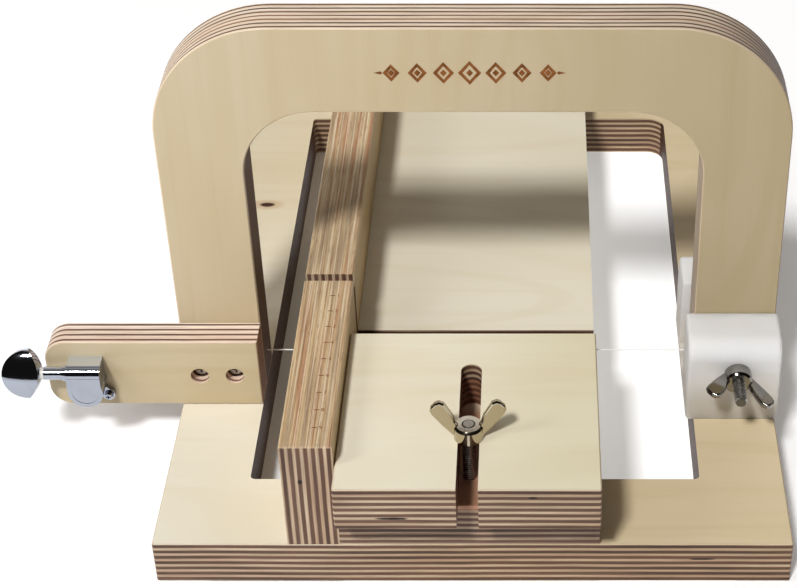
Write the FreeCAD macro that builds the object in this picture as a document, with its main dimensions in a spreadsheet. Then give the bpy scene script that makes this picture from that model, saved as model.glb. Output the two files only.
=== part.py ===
import FreeCAD, Part
import Sketcher
import os

# Single-wire plywood soap cutter, in millimetres.
# Frame: X to the right, Y away from the user, Z up. The origin is the centre of the base's underside.
# A loaf lies on the bed against the guide fence. The stop plate sets the slice, and the arch swings
# down about the pivot bolt so that its wire passes through the kerf in the fence and the bed.

DIMENSIONS = {
    # boards
    "ply": 19.5,
    "arris": 0.5,
    "base_width": 240,
    "base_length": 334,
    "side_rail": 32.7,
    "front_rail": 36,
    "opening_length": 266.8,
    "router_corner": 8,
    "saw_corner": 2,
    "bed_width": 97,
    "bed_offset": -1,
    "fence_height": 48,
    "kerf": 4.4,
    "kerf_floor": 8,
    "wire_setback": 103,
    # arch
    "arch_setback": 93.9,
    "arch_height": 166,
    "beam_depth": 35.4,
    "outer_corner": 46,
    "inner_corner": 28,
    "foot_gap": 0.3,
    "wire_height": 11.03,
    "wire_hole": 1.4,
    "nest_depth": 12,
    # pivot block
    "block_width": 37,
    "block_length": 66,
    "block_height": 37,
    "block_setback": 72,
    "block_offset": 102.4,
    "block_round": 1.6,
    "block_brow": 8,
    "web": 6,
    "pivot_height": 23,
    "side_gap": 0.3,
    # stop plate
    "plate_width": 96.6,
    "plate_length": 91,
    "plate_overhang": 12.8,
    "slide_gap": 0.15,
    "slot_width": 8,
    "slot_depth": 71.2,
    "stop_setback": 16,
    # tuner arm
    "arm_thickness": 13,
    "arm_height": 32,
    "arm_reach": 52.7,
    "arm_corner": 9,
    "arm_screw_height": 15,
    "arm_screw_inner": 97.5,
    "arm_screw_outer": 111.6,
    "recess_radius": 3.7,
    "recess_depth": 7,
    # tuner
    "post_offset": 156,
    "post_height": 14.1,
    "post_radius": 3.1,
    "neck_radius": 2.8,
    "neck_length": 4,
    "neck_front": 1,
    "crown_length": 2.5,
    "drum_radius": 7,
    "drum_depth": 9.9,
    "cavity_radius": 5.3,
    "wheel_radius": 4.6,
    "wheel_thickness": 3.6,
    "worm_height": 21.3,
    "worm_setback": 5.9,
    "worm_radius": 2.3,
    "barrel_radius": 3.9,
    "barrel_width": 13.5,
    "barrel_offset": 156.2,
    "collar_radius": 2.7,
    "collar_length": 8.9,
    "shaft_radius": 1.7,
    "lug_reach": 7.1,
    "lug_thickness": 2.2,
    "lug_radius": 2.5,
    "bush_radius": 4.9,
    "bush_flange": 2.6,
    "button_length": 14.8,
    "button_radius": 9.9,
    "button_thickness": 8,
    "button_tilt": 23,
    # fasteners and wire
    "bolt_radius": 2.45,
    "bolt_hole": 2.5,
    "hub_radius": 5.5,
    "hub_height": 6,
    "hub_dome": 6.7,
    "wing_reach": 14,
    "wing_height": 17.2,
    "wing_thickness": 2.5,
    "wing_round": 0.9,
    "pivot_bolt_length": 83.5,
    "wire_radius": 0.25,
    "screw_radius": 2,
    "screw_head": 4,
}

doc = FreeCAD.newDocument("soap_cutter")
dims = doc.addObject("Spreadsheet::Sheet", "dims")
for row, (alias, number) in enumerate(DIMENSIONS.items(), start=1):
    dims.set(f"A{row}", alias)
    dims.set(f"B{row}", str(number))
    dims.setAlias(f"B{row}", alias)
doc.recompute()

NODES = {}

# Shared places, as expressions on the sheet.
FRONT = "(-dims.base_length / 2)"
REAR = "(dims.base_length / 2)"
TOP = "dims.ply"
BED_TOP = "(2 * dims.ply)"
WIRE_Y = f"({FRONT} + dims.wire_setback)"
WIRE_Z = f"({TOP} + dims.wire_height)"
ARCH_FRONT = f"({FRONT} + dims.arch_setback)"
ARCH_REAR = f"({ARCH_FRONT} + dims.ply)"
INNER_X = "(dims.base_width / 2 - dims.side_rail)"
OUTER_X = "(dims.base_width / 2)"
PIVOT_X = "(dims.base_width / 2 - dims.side_rail / 2)"
PIVOT_Z = f"({TOP} + dims.pivot_height)"
BED_LEFT = "(dims.bed_offset - dims.bed_width / 2)"
BED_RIGHT = "(dims.bed_offset + dims.bed_width / 2)"
FENCE_LEFT = f"({BED_LEFT} - dims.ply)"
BLOCK_FRONT = f"({FRONT} + dims.block_setback)"
BLOCK_REAR = f"({BLOCK_FRONT} + dims.block_length)"
PLATE_BOTTOM = f"({BED_TOP} + dims.slide_gap)"
PLATE_TOP = f"({PLATE_BOTTOM} + dims.ply)"
PLATE_FRONT = f"({FRONT} - dims.plate_overhang)"
STOP_Y = f"({FRONT} + dims.stop_setback)"
ARM_FRONT = f"({ARCH_FRONT} - dims.arm_thickness)"
ARM_BOTTOM = f"({TOP} + dims.foot_gap)"
POST_X = "(-dims.post_offset)"
POST_Z = f"({TOP} + dims.post_height)"
WORM_Y = f"({ARM_FRONT} - dims.worm_setback)"
WORM_Z = f"({TOP} + dims.worm_height)"
WORM_RIGHT = "(-dims.barrel_offset + dims.barrel_width / 2)"
WORM_LEFT = "(-dims.barrel_offset - dims.barrel_width / 2)"
BUTTON_X = f"({WORM_LEFT} - dims.collar_length - 1.6)"

ALONG = {
    "X": FreeCAD.Rotation(FreeCAD.Vector(0, 1, 0), 90),
    "Y": FreeCAD.Rotation(FreeCAD.Vector(1, 0, 0), -90),
    "Z": FreeCAD.Rotation(),
    "-Y": FreeCAD.Rotation(FreeCAD.Vector(1, 0, 0), 90),
    "-Z": FreeCAD.Rotation(FreeCAD.Vector(1, 0, 0), 180),
    "-X": FreeCAD.Rotation(FreeCAD.Vector(0, 1, 0), -90),
}


def value(expression):
    """The number that an expression on the sheet gives."""
    return float(dims.evalExpression(str(expression)))


def bind(thing, **expressions):
    """Bind properties to expressions on the sheet."""
    for name, expression in expressions.items():
        thing.setExpression(name, str(expression))


def put(thing, corner, axis="Z"):
    """Turn a thing's own Z along an axis and bind its place."""
    thing.Placement = FreeCAD.Placement(FreeCAD.Vector(), ALONG[axis])
    for letter, expression in zip("xyz", corner):
        thing.setExpression(f"Placement.Base.{letter}", str(expression))
    return thing


def box(name, corner, size):
    thing = doc.addObject("Part::Box", name)
    bind(thing, Length=size[0], Width=size[1], Height=size[2])
    return put(thing, corner)


def cylinder(name, start, axis, radius, length):
    thing = doc.addObject("Part::Cylinder", name)
    bind(thing, Radius=radius, Height=length)
    return put(thing, start, axis)


def cone(name, start, axis, first_radius, last_radius, length):
    thing = doc.addObject("Part::Cone", name)
    bind(thing, Radius1=first_radius, Radius2=last_radius, Height=length)
    return put(thing, start, axis)


def hexagon(name, start, axis, radius, length):
    thing = doc.addObject("Part::Prism", name)
    thing.Polygon = 6
    bind(thing, Circumradius=radius, Height=length)
    return put(thing, start, axis)


def torus(name, centre, axis, ring_radius, groove_radius):
    thing = doc.addObject("Part::Torus", name)
    bind(thing, Radius1=ring_radius, Radius2=groove_radius)
    return put(thing, centre, axis)


def sphere(name, centre, radius):
    thing = doc.addObject("Part::Sphere", name)
    bind(thing, Radius=radius)
    return put(thing, centre)


def common(name, pieces):
    thing = doc.addObject("Part::MultiCommon", name)
    thing.Shapes = pieces
    thing.Refine = True
    return thing


def fuse(name, pieces):
    thing = doc.addObject("Part::MultiFuse", name)
    thing.Shapes = pieces
    thing.Refine = True
    return thing


def cut(name, base, tools):
    thing = doc.addObject("Part::Cut", name)
    thing.Base = base
    thing.Tool = tools[0] if len(tools) == 1 else fuse(name + "_tools", tools)
    return thing


def group(name, pieces):
    thing = doc.addObject("Part::Compound", name)
    thing.Links = pieces
    return thing


def node(name, thing):
    """Name a finished sub-part."""
    thing.Label = name
    NODES[name] = thing
    return thing


# Sketch helpers for the boards and the other bodies.

def new_body(name):
    return doc.addObject("PartDesign::Body", name + "_body")


def lay_on(thing, body, plane):
    """Attach a thing to one of the body's origin planes."""
    support = next(f for f in body.Origin.OriginFeatures if f.Role == plane)
    thing.AttachmentSupport = [(support, "")]
    thing.MapMode = "FlatFace"


def new_sketch(body, name, plane, height="0"):
    """A sketch on one of the body's origin planes, lifted along the plane's normal."""
    sketch = body.newObject("Sketcher::SketchObject", name)
    lay_on(sketch, body, plane)
    sketch.setExpression("AttachmentOffset.Base.z", height)
    return sketch


def pin(sketch, element, point, x, y):
    """Fix a sketch point at two expressions."""
    for kind, expression in (("DistanceX", x), ("DistanceY", y)):
        constraint = Sketcher.Constraint(kind, -1, 1, element, point, value(expression))
        index = sketch.addConstraint(constraint)
        sketch.setExpression(f"Constraints[{index}]", str(expression))


def outline(sketch, points):
    """A closed outline through points given as expressions."""
    first = sketch.GeometryCount
    places = [FreeCAD.Vector(value(x), value(y), 0) for x, y in points]
    count = len(points)
    for i in range(count):
        sketch.addGeometry(Part.LineSegment(places[i], places[(i + 1) % count]), False)
    for i in range(count):
        joined = first + (i + 1) % count
        sketch.addConstraint(Sketcher.Constraint("Coincident", first + i, 2, joined, 1))
    for i, (x, y) in enumerate(points):
        pin(sketch, first + i, 1, x, y)


def rectangle(sketch, left, low, right, high):
    outline(sketch, [(left, low), (right, low), (right, high), (left, high)])


def circle(sketch, x, y, radius):
    centre = FreeCAD.Vector(value(x), value(y), 0)
    index = sketch.addGeometry(Part.Circle(centre, FreeCAD.Vector(0, 0, 1), value(radius)), False)
    pin(sketch, index, 3, x, y)
    size = sketch.addConstraint(Sketcher.Constraint("Radius", index, value(radius)))
    sketch.setExpression(f"Constraints[{size}]", str(radius))


def pad(body, name, sketch, length, reverse=False):
    thing = body.newObject("PartDesign::Pad", name)
    thing.Profile = sketch
    thing.Reversed = reverse
    bind(thing, Length=length)
    doc.recompute()
    return thing


def pocket(body, name, sketch, length, reverse=False):
    """Cut a sketch out of the body, and make sure that it took something away."""
    before = body.Shape.Volume
    thing = body.newObject("PartDesign::Pocket", name)
    thing.Profile = sketch
    thing.Reversed = reverse
    bind(thing, Length=length)
    doc.recompute()
    if thing.Shape.Volume >= before - 1e-6:
        raise RuntimeError(f"{name} cuts nothing")
    return thing


def edges_along(shape, axis, places):
    """Names of the straight edges along an axis that pass through the given places."""
    others = [i for i in range(3) if i != "XYZ".index(axis)]
    names = []
    for number, edge in enumerate(shape.Edges, start=1):
        ends = [vertex.Point for vertex in edge.Vertexes]
        if len(ends) != 2 or not isinstance(edge.Curve, (Part.Line, Part.LineSegment)):
            continue
        straight = all(abs(ends[0][i] - ends[1][i]) < 0.01 for i in others)
        near = any(
            abs(ends[0][others[0]] - a) < 0.05 and abs(ends[0][others[1]] - b) < 0.05
            for a, b in places
        )
        if straight and near:
            names.append(f"Edge{number}")
    return names


def fillet(body, name, axis, places, radius):
    """Round the edges along an axis at the given places, each a pair of expressions."""
    base = body.Tip
    spots = [(value(a), value(b)) for a, b in places]
    names = edges_along(base.Shape, axis, spots)
    if len(names) < len(places):
        raise RuntimeError(f"{name} finds {len(names)} of {len(places)} edges")
    thing = body.newObject("PartDesign::Fillet", name)
    thing.Base = (base, names)
    bind(thing, Radius=radius)
    doc.recompute()
    return thing


def dress(body, name, kind, pick, **size):
    """A chamfer or fillet round the faces that pick(face) chooses."""
    base = body.Tip
    names = [f"Face{n}" for n, face in enumerate(base.Shape.Faces, start=1) if pick(face)]
    thing = body.newObject("PartDesign::" + kind, name)
    thing.Base = (base, names)
    bind(thing, **size)
    doc.recompute()
    return thing


def soften(body, name, pick):
    return dress(body, name, "Chamfer", pick, Size="dims.arris")


def round_faces(body, name, pick, radius):
    return dress(body, name, "Fillet", pick, Radius=radius)


def faces_square_to(axis):
    """Picks the flat faces whose normal lies along an axis."""
    index = "XYZ".index(axis)

    def pick(face):
        flat = isinstance(face.Surface, Part.Plane)
        return flat and abs(abs(face.normalAt(0, 0)[index]) - 1) < 1e-6

    return pick


# Base: one board with a through opening under the bed, and clearance for the screws from below.

BED_SCREWS = [
    (f"({BED_LEFT} + 20)", f"({FRONT} + 18)"),
    (f"({BED_RIGHT} - 20)", f"({FRONT} + 18)"),
    (f"({BED_LEFT} + 20)", f"({REAR} - 18)"),
    (f"({BED_RIGHT} - 20)", f"({REAR} - 18)"),
]
FENCE_SCREWS = [
    (f"({FENCE_LEFT} + dims.ply / 2)", f"({FRONT} + 18)"),
    (f"({FENCE_LEFT} + dims.ply / 2)", f"({REAR} - 18)"),
]
BLOCK_SCREWS = [
    (PIVOT_X, f"({BLOCK_FRONT} + 11)"),
    (PIVOT_X, f"({BLOCK_REAR} - 11)"),
]
SCREW_HOLE = "(dims.screw_radius + 0.04)"
SCREW_SINK = "dims.screw_head + 0.04"
HEAD_DEPTH = "(dims.screw_head - dims.screw_radius)"


def sink_screws(body, name, places, depth):
    """Holes with countersunk mouths on the underside, as pilots for screws driven upwards."""
    sketch = new_sketch(body, name + "_holes", "XY_Plane")
    for x, y in places:
        circle(sketch, x, y, SCREW_HOLE)
    pocket(body, name + "_cut", sketch, depth, reverse=True)
    for number, (x, y) in enumerate(places):
        sinker = body.newObject("PartDesign::SubtractiveCone", f"{name}_sink_{number}")
        lay_on(sinker, body, "XY_Plane")
        bind(sinker, Radius1=SCREW_SINK, Radius2=SCREW_HOLE, Height=HEAD_DEPTH)
        for letter, expression in zip("xyz", (x, y, "0")):
            sinker.setExpression(f"AttachmentOffset.Base.{letter}", expression)
        doc.recompute()


def make_base_frame():
    body = new_body("base_frame")
    board = new_sketch(body, "base_outline", "XY_Plane")
    rectangle(board, f"-{OUTER_X}", FRONT, OUTER_X, REAR)
    pad(body, "base_board", board, TOP)
    soften(body, "base_arris", lambda face: True)
    opening = new_sketch(body, "base_opening", "XY_Plane")
    low = f"({FRONT} + dims.front_rail)"
    high = f"({low} + dims.opening_length)"
    rectangle(opening, f"-{INNER_X}", low, INNER_X, high)
    pocket(body, "base_opening_cut", opening, TOP, reverse=True)
    fillet(body, "base_router_corner", "Z", [(INNER_X, high)], "dims.router_corner")
    sawn = [(f"-{INNER_X}", low), (INNER_X, low), (f"-{INNER_X}", high)]
    fillet(body, "base_saw_corners", "Z", sawn, "dims.saw_corner")
    bolt = new_sketch(body, "base_bolt", "XY_Plane")
    circle(bolt, "dims.bed_offset", STOP_Y, "dims.bolt_hole")
    pocket(body, "base_bolt_hole", bolt, TOP, reverse=True)
    recess = new_sketch(body, "base_bolt_recess", "XY_Plane")
    circle(recess, "dims.bed_offset", STOP_Y, "7.2")
    pocket(body, "base_bolt_sink", recess, "5", reverse=True)
    sink_screws(body, "base", BED_SCREWS + FENCE_SCREWS + BLOCK_SCREWS, TOP)
    return node("base_frame", body)


def pilot_holes(body, name, places, depth):
    """Blind pilot holes upwards from a board that stands on the base."""
    sketch = new_sketch(body, name, "XY_Plane", TOP)
    for x, y in places:
        circle(sketch, x, y, SCREW_HOLE)
    pocket(body, name + "_cut", sketch, depth, reverse=True)


def cut_kerf(body, name, left, right):
    """The saw kerf that the wire drops into, open at the top."""
    sketch = new_sketch(body, name, "XY_Plane", f"{TOP} + dims.kerf_floor")
    half = "dims.kerf / 2"
    rectangle(sketch, f"{left} - 1", f"{WIRE_Y} - {half}", f"{right} + 1", f"{WIRE_Y} + {half}")
    pocket(body, name + "_cut", sketch, "dims.fence_height", reverse=True)


BED_PILOT = "13.5"
FENCE_PILOT = "24"
BLOCK_PILOT = "15"


def make_bed_board():
    body = new_body("bed_board")
    board = new_sketch(body, "bed_outline", "XY_Plane", TOP)
    rectangle(board, BED_LEFT, FRONT, BED_RIGHT, REAR)
    pad(body, "bed_pad", board, "dims.ply")
    bolt = new_sketch(body, "bed_bolt", "XY_Plane", TOP)
    circle(bolt, "dims.bed_offset", STOP_Y, "dims.bolt_hole")
    pocket(body, "bed_bolt_hole", bolt, "dims.ply", reverse=True)
    pilot_holes(body, "bed_pilots", BED_SCREWS, BED_PILOT)
    cut_kerf(body, "bed_kerf", BED_LEFT, BED_RIGHT)
    return node("bed_board", body)


def make_guide_fence():
    body = new_body("guide_fence")
    board = new_sketch(body, "fence_outline", "XY_Plane", TOP)
    rectangle(board, FENCE_LEFT, FRONT, BED_LEFT, REAR)
    pad(body, "fence_pad", board, "dims.fence_height")
    top = value(f"{TOP} + dims.fence_height")
    soften(body, "fence_arris", lambda face: face.CenterOfMass.z > top - 0.01)
    pilot_holes(body, "fence_pilots", FENCE_SCREWS, FENCE_PILOT)
    cut_kerf(body, "fence_kerf", FENCE_LEFT, BED_LEFT)
    return node("guide_fence", body)


# Wood screws, driven up from the underside: countersunk head, shank and point, with a cross recess.

def cross_recess(name, x, y, z, width, depth):
    """Two crossed bars that cut a driver recess upwards from z."""
    thin = f"({width} / 4)"
    first = box(name + "_a", (f"{x} - {width} / 2", f"{y} - {thin} / 2", z), (width, thin, depth))
    second = box(name + "_b", (f"{x} - {thin} / 2", f"{y} - {width} / 2", z), (thin, width, depth))
    return [first, second]


def wood_screw(name, x, y, length):
    point = "3"
    head = cone(name + "_head", (x, y, "0"), "Z", "dims.screw_head", "dims.screw_radius", HEAD_DEPTH)
    straight = f"({length} - {HEAD_DEPTH} - {point})"
    shank = cylinder(name + "_shank", (x, y, HEAD_DEPTH), "Z", "dims.screw_radius", straight)
    tip = cone(name + "_tip", (x, y, f"{length} - {point}"), "Z", "dims.screw_radius", "0.4", point)
    solid = fuse(name + "_solid", [head, shank, tip])
    return cut(name, solid, cross_recess(name + "_cross", x, y, "0", "4.4", "1.5"))


def screw_set(name, places, length):
    screws = [wood_screw(f"{name}_{i}", x, y, length) for i, (x, y) in enumerate(places)]
    return node(name, group(name, screws))


# Pivot block: a nylon block on the right rail with a slot for the arch's foot.

def make_pivot_block():
    body = new_body("pivot_block")
    left = "(dims.block_offset - dims.block_width / 2)"
    right = "(dims.block_offset + dims.block_width / 2)"
    foot = new_sketch(body, "block_outline", "XY_Plane", TOP)
    rectangle(foot, left, BLOCK_FRONT, right, BLOCK_REAR)
    pad(body, "block_pad", foot, "dims.block_height")
    top = f"({TOP} + dims.block_height)"
    fillet(body, "block_brow", "X", [(BLOCK_FRONT, top), (BLOCK_REAR, top)], "dims.block_brow")
    round_faces(body, "block_sides", faces_square_to("X"), "dims.block_round")
    slot = new_sketch(body, "block_slot", "XY_Plane", f"{TOP} + dims.web")
    low = f"{ARCH_FRONT} - dims.side_gap"
    high = f"{ARCH_REAR} + dims.side_gap"
    rectangle(slot, f"{left} - 1", low, f"{right} + 1", high)
    pocket(body, "block_slot_cut", slot, "dims.block_height", reverse=True)
    bore = new_sketch(body, "block_bore", "XZ_Plane", f"-{BLOCK_FRONT}")
    circle(bore, PIVOT_X, PIVOT_Z, "dims.bolt_hole")
    pocket(body, "block_bore_cut", bore, "dims.block_length")
    pilot_holes(body, "block_pilots", BLOCK_SCREWS, BLOCK_PILOT)
    return node("pivot_block", body)


# Arch: a U of plywood standing over the bed. Its right foot is a full round about the pivot bolt.

ARM_SCREW_X = ("(-dims.arm_screw_inner)", "(-dims.arm_screw_outer)")
ARM_SCREW_Z = f"({TOP} + dims.arm_screw_height)"
ARM_SCREW_SEAT = f"({ARM_FRONT} + dims.recess_depth)"
ARM_SCREW_GRIP = "18"


def make_arch_frame():
    body = new_body("arch_frame")
    top = f"({TOP} + dims.arch_height)"
    under = f"({top} - dims.beam_depth)"
    left_foot = f"({TOP} + dims.foot_gap)"
    board = new_sketch(body, "arch_outline", "XZ_Plane", f"-{ARCH_FRONT}")
    outline(board, [
        (f"-{OUTER_X}", left_foot),
        (f"-{INNER_X}", left_foot),
        (f"-{INNER_X}", under),
        (INNER_X, under),
        (INNER_X, PIVOT_Z),
        (OUTER_X, PIVOT_Z),
        (OUTER_X, top),
        (f"-{OUTER_X}", top),
    ])
    pad(body, "arch_board", board, "dims.ply", reverse=True)
    fillet(body, "arch_outer", "Y", [(f"-{OUTER_X}", top), (OUTER_X, top)], "dims.outer_corner")
    fillet(body, "arch_inner", "Y", [(f"-{INNER_X}", under), (INNER_X, under)], "dims.inner_corner")
    foot = new_sketch(body, "arch_foot", "XZ_Plane", f"-{ARCH_FRONT}")
    circle(foot, PIVOT_X, PIVOT_Z, "dims.side_rail / 2")
    pad(body, "arch_foot_pad", foot, "dims.ply", reverse=True)
    soften(body, "arch_arris", faces_square_to("Y"))
    bore = new_sketch(body, "arch_bore", "XZ_Plane", f"-{ARCH_FRONT}")
    circle(bore, PIVOT_X, PIVOT_Z, "dims.bolt_hole")
    pocket(body, "arch_bore_cut", bore, "dims.ply")
    for side, start in (("left", f"-{OUTER_X}"), ("right", INNER_X)):
        hole = new_sketch(body, f"arch_wire_{side}", "YZ_Plane", start)
        circle(hole, WIRE_Y, WIRE_Z, "dims.wire_hole / 2")
        pocket(body, f"arch_wire_{side}_cut", hole, "dims.side_rail", reverse=True)
    nest = new_sketch(body, "arch_ball_nest", "YZ_Plane", f"{OUTER_X} - dims.nest_depth")
    circle(nest, WIRE_Y, WIRE_Z, "2.1")
    pocket(body, "arch_ball_nest_cut", nest, "dims.nest_depth", reverse=True)
    pilots = new_sketch(body, "arch_pilots", "XZ_Plane", f"-{ARCH_FRONT}")
    for x in ARM_SCREW_X:
        circle(pilots, x, ARM_SCREW_Z, SCREW_HOLE)
    pocket(body, "arch_pilots_cut", pilots, ARM_SCREW_GRIP)
    return node("arch_frame", body)


# Tuner arm: thinner plywood screwed to the front of the left leg.

def make_tuner_arm():
    body = new_body("tuner_arm")
    left = f"(-{OUTER_X} - dims.arm_reach)"
    right = f"(-{INNER_X})"
    top = f"({ARM_BOTTOM} + dims.arm_height)"
    board = new_sketch(body, "arm_outline", "XZ_Plane", f"-{ARM_FRONT}")
    rectangle(board, left, ARM_BOTTOM, right, top)
    pad(body, "arm_board", board, "dims.arm_thickness", reverse=True)
    fillet(body, "arm_corners", "Y", [(left, ARM_BOTTOM), (left, top)], "dims.arm_corner")
    soften(body, "arm_arris", faces_square_to("Y"))
    post = new_sketch(body, "arm_post", "XZ_Plane", f"-{ARM_FRONT}")
    circle(post, POST_X, POST_Z, "dims.bush_radius + 0.05")
    pocket(body, "arm_post_hole", post, "dims.arm_thickness")
    lug_x = f"({POST_X} + dims.lug_reach)"
    lug_z = f"({POST_Z} - dims.lug_reach)"
    pilot = new_sketch(body, "arm_lug_pilot", "XZ_Plane", f"-{ARM_FRONT}")
    circle(pilot, lug_x, lug_z, "1.12")
    pocket(body, "arm_lug_pilot_cut", pilot, "8")
    heads = new_sketch(body, "arm_recesses", "XZ_Plane", f"-{ARM_FRONT}")
    shanks = new_sketch(body, "arm_shanks", "XZ_Plane", f"-{ARM_FRONT}")
    for x in ARM_SCREW_X:
        circle(heads, x, ARM_SCREW_Z, "dims.recess_radius")
        circle(shanks, x, ARM_SCREW_Z, SCREW_HOLE)
    pocket(body, "arm_recess_cut", heads, "dims.recess_depth")
    pocket(body, "arm_shank_cut", shanks, "dims.arm_thickness")
    return node("tuner_arm", body)


def pan_screw(name, x, z, seat, head_radius, head_height, shank_radius, length):
    """A pan-head screw driven towards +Y, with its head on the seat."""
    dome = f"({head_height} / 3)"
    rim = f"({head_height} - {dome})"
    head = cylinder(name + "_rim", (x, f"{seat} - {rim}", z), "Y", head_radius, rim)
    crown = cone(name + "_crown", (x, f"{seat} - {rim}", z), "-Y", head_radius,
                 f"{head_radius} * 0.72", dome)
    shank = cylinder(name + "_shank", (x, seat, z), "Y", shank_radius, f"{length} - 2")
    tip = cone(name + "_tip", (x, f"{seat} + {length} - 2", z), "Y", shank_radius, "0.3", "2")
    width = f"({head_radius} * 1.1)"
    bars = []
    for letter, across, high in (("a", width, f"{width} / 4"), ("b", f"{width} / 4", width)):
        corner = (f"{x} - {across} / 2", f"{seat} - {head_height}", f"{z} - {high} / 2")
        bars.append(box(f"{name}_{letter}", corner, (across, f"{head_height} * 0.6", high)))
    return cut(name, fuse(name + "_solid", [head, crown, shank, tip]), bars)


def make_arm_screws():
    screws = []
    for number, x in enumerate(ARM_SCREW_X):
        screws.append(pan_screw(f"arm_screw_{number}", x, ARM_SCREW_Z, ARM_SCREW_SEAT,
                                "3.3", "2.6", "dims.screw_radius", "23"))
    return node("arm_screws", group("arm_screws", screws))


# Stop plate: slides over the bed along its slot.

def make_stop_plate():
    body = new_body("stop_plate")
    left = "(dims.bed_offset - dims.plate_width / 2)"
    right = "(dims.bed_offset + dims.plate_width / 2)"
    board = new_sketch(body, "plate_outline", "XY_Plane", PLATE_BOTTOM)
    rectangle(board, left, PLATE_FRONT, right, f"{PLATE_FRONT} + dims.plate_length")
    pad(body, "plate_pad", board, "dims.ply")
    soften(body, "plate_arris", lambda face: True)
    slot = new_sketch(body, "plate_slot", "XY_Plane", PLATE_BOTTOM)
    half = "dims.slot_width / 2"
    end = f"({PLATE_FRONT} + dims.slot_depth - {half})"
    rectangle(slot, f"dims.bed_offset - {half}", f"{PLATE_FRONT} - 1", f"dims.bed_offset + {half}", end)
    pocket(body, "plate_slot_cut", slot, "dims.ply", reverse=True)
    round_end = new_sketch(body, "plate_slot_end", "XY_Plane", PLATE_BOTTOM)
    circle(round_end, "dims.bed_offset", end, half)
    pocket(body, "plate_slot_end_cut", round_end, "dims.ply", reverse=True)
    return node("stop_plate", body)


# Wing nut: a low domed hub with two blades that lean outwards.

def wing_nut(name, place, axis, turn):
    barrel = cylinder(name + "_barrel", ("0", "0", "0"), "Z", "dims.hub_radius", "dims.hub_height")
    dome = sphere(name + "_dome", ("0", "0", "1.2"), "dims.hub_dome")
    hub = common(name + "_hub", [barrel, dome])
    body = new_body(name + "_wing")
    blade = new_sketch(body, name + "_blade", "XZ_Plane", "-dims.wing_thickness / 2")
    tip = "dims.wing_reach"
    top = "dims.wing_height"
    outline(blade, [
        ("3.4", "0.6"),
        ("5.6", "1.2"),
        (f"{tip} - 4", f"{top} - 10.6"),
        (f"{tip} - 0.7", f"{top} - 6"),
        (tip, f"{top} - 4.3"),
        (f"{tip} - 0.4", f"{top} - 2.6"),
        (f"{tip} - 2", f"{top} - 0.7"),
        (f"{tip} - 3.5", top),
        (f"{tip} - 5.4", f"{top} - 0.9"),
        (f"{tip} - 8.2", f"{top} - 6"),
        ("4.6", "7.4"),
        ("3.4", "5.4"),
    ])
    plate = pad(body, name + "_blade_pad", blade, "dims.wing_thickness")
    rim = round_faces(body, name + "_blade_round", faces_square_to("Y"), "dims.wing_round")
    mirror = body.newObject("PartDesign::Mirrored", name + "_mirror")
    mirror.Originals = [plate, rim]
    plane = next(f for f in body.Origin.OriginFeatures if f.Role == "YZ_Plane")
    mirror.MirrorPlane = (plane, [""])
    body.AllowCompound = True
    body.Tip = mirror
    doc.recompute()
    solid = fuse(name + "_solid", [hub, body])
    hole = cylinder(name + "_bore", ("0", "0", "-1"), "Z", "dims.bolt_radius + 0.05", "dims.wing_height")
    thing = cut(name, solid, [hole])
    spin = FreeCAD.Rotation(FreeCAD.Vector(0, 0, 1), turn)
    thing.Placement = FreeCAD.Placement(FreeCAD.Vector(), ALONG[axis].multiply(spin))
    for letter, expression in zip("xyz", place):
        thing.setExpression(f"Placement.Base.{letter}", expression)
    return node(name, thing)


STOP_NUT_Z = f"({PLATE_TOP} + dims.slide_gap)"


def make_stop_bolt():
    """A round-headed bolt, up through the base and the bed, with its head sunk in the underside."""
    sink = "5"
    head_height = "3.2"
    centre = ("dims.bed_offset", STOP_Y, f"{sink} - {head_height}")
    head = cylinder("stop_bolt_head", centre, "Z", "6.5", head_height)
    end = f"({STOP_NUT_Z} + dims.hub_height + 0.3)"
    shank = cylinder("stop_bolt_shank", ("dims.bed_offset", STOP_Y, sink), "Z", "dims.bolt_radius",
                     f"{end} - {sink} - 0.6")
    nose = cone("stop_bolt_nose", ("dims.bed_offset", STOP_Y, f"{end} - 0.6"), "Z",
                "dims.bolt_radius", "dims.bolt_radius - 0.5", "0.6")
    return node("stop_bolt", fuse("stop_bolt", [head, shank, nose]))


def make_pivot_bolt():
    """A hex-headed bolt from the back of the block to the wing nut in front."""
    head = hexagon("pivot_bolt_head", (PIVOT_X, f"{BLOCK_REAR} + 0.05", PIVOT_Z), "Y", "4.62", "3.5")
    length = "dims.pivot_bolt_length"
    end = f"({BLOCK_REAR} - {length})"
    shank = cylinder("pivot_bolt_shank", (PIVOT_X, f"{end} + 0.6", PIVOT_Z), "Y", "dims.bolt_radius",
                     f"{length} - 0.5")
    nose = cone("pivot_bolt_nose", (PIVOT_X, f"{end} + 0.6", PIVOT_Z), "-Y",
                "dims.bolt_radius", "dims.bolt_radius - 0.5", "0.6")
    return node("pivot_bolt", fuse("pivot_bolt", [head, shank, nose]))


# Tuner: a sealed worm tuner on the arm, as on a guitar.

LUG_X = f"({POST_X} + dims.lug_reach)"
LUG_Z = f"({POST_Z} - dims.lug_reach)"
DRUM_FRONT = f"({ARM_FRONT} - dims.drum_depth)"
CAP = "1.2"
CAVITY_FRONT = f"({DRUM_FRONT} + {CAP})"
FLOOR = "1.6"
WHEEL_Y = f"({ARM_FRONT} - {FLOOR} - 0.2 - dims.wheel_thickness)"


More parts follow.
